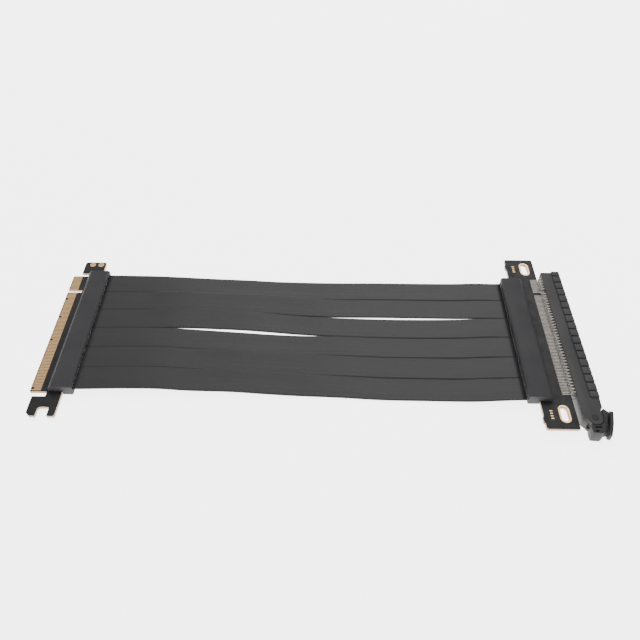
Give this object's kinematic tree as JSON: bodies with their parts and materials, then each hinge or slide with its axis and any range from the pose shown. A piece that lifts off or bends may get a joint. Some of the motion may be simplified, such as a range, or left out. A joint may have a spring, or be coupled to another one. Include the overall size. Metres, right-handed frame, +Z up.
{
  "type": "expansion slot riser cable",
  "caption": "Flexible riser cable: an edge plug board and a latched expansion slot board joined by flat black ribbons.",
  "frame": {"origin": "middle of the footprint of the rigid pieces, on the surface that the part lies on", "axes": "+X along the ribbons from the plug board to the slot board, +Y across them towards the key notch's end, +Z up from the surface"},
  "size_m": [0.2912, 0.1258, 0.0095],
  "materials": {
    "board": "matte",
    "moulding": "satin",
    "housing": "satin",
    "latch": "satin",
    "ribbon": "satin",
    "ribbon_end": "satin"
  },
  "bodies": {
    "riser": {"plug_board": "board", "plug_mould": "moulding", "slot_board": "board", "slot_mould": "moulding", "slot_housing": "housing", "plug_ribbon_end_1": "ribbon_end", "plug_ribbon_end_2": "ribbon_end", "plug_ribbon_end_3": "ribbon_end", "plug_ribbon_end_4": "ribbon_end", "plug_ribbon_end_5": "ribbon_end", "plug_ribbon_end_6": "ribbon_end", "slot_ribbon_end_1": "ribbon_end", "slot_ribbon_end_2": "ribbon_end", "slot_ribbon_end_3": "ribbon_end", "slot_ribbon_end_4": "ribbon_end", "slot_ribbon_end_5": "ribbon_end", "slot_ribbon_end_6": "ribbon_end", "ribbon_1": "ribbon", "ribbon_2": "ribbon", "ribbon_3": "ribbon", "ribbon_4": "ribbon", "ribbon_5": "ribbon", "ribbon_6": "ribbon"},
    "latch": {"latch": "latch"}
  },
  "joints": [
    {"name": "latch_pivot", "type": "hinge", "parent": "riser", "child": "latch", "pos_m": [0.13605, -0.05384, 0.00475], "axis": [0, 0, 1], "range_deg": [-25, 0]}
  ]
}
